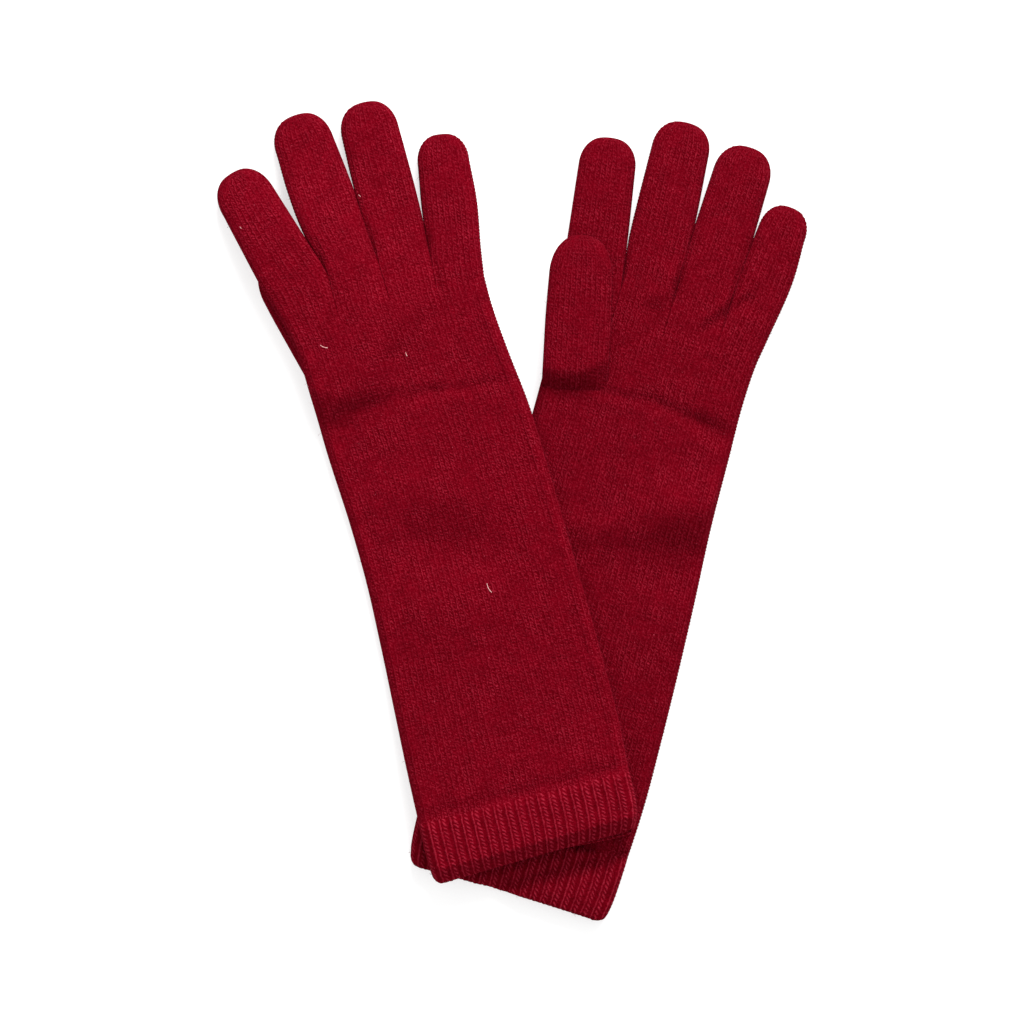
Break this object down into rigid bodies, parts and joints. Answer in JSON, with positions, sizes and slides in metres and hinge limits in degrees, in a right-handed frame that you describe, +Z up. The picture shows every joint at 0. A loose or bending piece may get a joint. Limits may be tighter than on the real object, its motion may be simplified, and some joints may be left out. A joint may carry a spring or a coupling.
{
  "type": "pair of long gloves",
  "caption": "Long soft knitted gloves with ribbed cuffs, laid flat and crossed at the forearms; wrists, fingers and thumbs bend.",
  "frame": {"origin": "middle of the pair's bounding box, at table level", "axes": "+Z up from the table, +Y the way the fingertips point, X across the pair"},
  "size_m": [0.2658, 0.367, 0.0163],
  "materials": {
    "plain_knit": "soft brushed plain knit wool, deep red",
    "rib_knit": "soft one-by-one rib knit wool, deep red"
  },
  "bodies": {
    "left_forearm": {"left_cuff": "rib_knit", "left_forearm": "plain_knit"},
    "left_hand": {"left_hand": "plain_knit", "left_index_finger_root": "plain_knit"},
    "left_thumb": {"left_thumb": "plain_knit"},
    "left_index_finger": {"left_index_finger": "plain_knit"},
    "left_middle_finger": {"left_middle_finger": "plain_knit"},
    "left_ring_finger": {"left_ring_finger": "plain_knit"},
    "left_little_finger": {"left_little_finger": "plain_knit"},
    "right_forearm": {"right_cuff": "rib_knit", "right_forearm": "plain_knit"},
    "right_hand": {"right_hand": "plain_knit"},
    "right_thumb": {"right_thumb": "plain_knit"},
    "right_index_finger": {"right_index_finger": "plain_knit"},
    "right_middle_finger": {"right_middle_finger": "plain_knit"},
    "right_ring_finger": {"right_ring_finger": "plain_knit"},
    "right_little_finger": {"right_little_finger": "plain_knit"}
  },
  "joints": [
    {"name": "left_wrist_fold", "type": "hinge", "parent": "left_forearm", "child": "left_hand", "pos_m": [0.05278, 0.03319, 0.0083], "axis": [0.9659, -0.2588, 0], "range_deg": [0, 90]},
    {"name": "left_thumb_swing", "type": "hinge", "parent": "left_hand", "child": "left_thumb", "pos_m": [0.0282, 0.05427, 0.0123], "axis": [0, 0, 1], "range_deg": [0, 25]},
    {"name": "left_index_fold", "type": "hinge", "parent": "left_hand", "child": "left_index_finger", "pos_m": [0.0394, 0.12581, 0.0083], "axis": [0.9659, -0.2588, 0], "range_deg": [0, 90]},
    {"name": "left_middle_fold", "type": "hinge", "parent": "left_hand", "child": "left_middle_finger", "pos_m": [0.05839, 0.08966, 0.0083], "axis": [0.9659, -0.2588, 0], "range_deg": [0, 90]},
    {"name": "left_ring_fold", "type": "hinge", "parent": "left_hand", "child": "left_ring_finger", "pos_m": [0.08196, 0.08335, 0.0083], "axis": [0.9659, -0.2588, 0], "range_deg": [0, 90]},
    {"name": "left_little_fold", "type": "hinge", "parent": "left_hand", "child": "left_little_finger", "pos_m": [0.10437, 0.07734, 0.0083], "axis": [0.9659, -0.2588, 0], "range_deg": [0, 90]},
    {"name": "right_glove_lift", "type": "slide", "parent": "left_forearm", "child": "right_forearm", "axis": [0, 0, 1], "range_m": [0, 0.12]},
    {"name": "right_wrist_fold", "type": "hinge", "parent": "right_forearm", "child": "right_hand", "pos_m": [-0.03898, 0.03946, 0.0166], "axis": [0.969, 0.247, 0], "range_deg": [0, 90]},
    {"name": "right_thumb_swing", "type": "hinge", "parent": "right_hand", "child": "right_thumb", "pos_m": [-0.07553, 0.05491, 0.004], "axis": [0, 0, 1], "range_deg": [0, 35]},
    {"name": "right_index_fold", "type": "hinge", "parent": "right_hand", "child": "right_index_finger", "pos_m": [-0.09395, 0.09356, 0.0166], "axis": [0.969, 0.247, 0], "range_deg": [0, 90]},
    {"name": "right_middle_fold", "type": "hinge", "parent": "right_hand", "child": "right_middle_finger", "pos_m": [-0.06904, 0.0999, 0.01621], "axis": [0.969, 0.247, 0], "range_deg": [0, 90]},
    {"name": "right_ring_fold", "type": "hinge", "parent": "right_hand", "child": "right_ring_finger", "pos_m": [-0.04656, 0.10564, 0.0083], "axis": [0.969, 0.247, 0], "range_deg": [0, 90]},
    {"name": "right_little_fold", "type": "hinge", "parent": "right_hand", "child": "right_little_finger", "pos_m": [-0.02437, 0.11129, 0.0083], "axis": [0.969, 0.247, 0], "range_deg": [0, 90]}
  ]
}
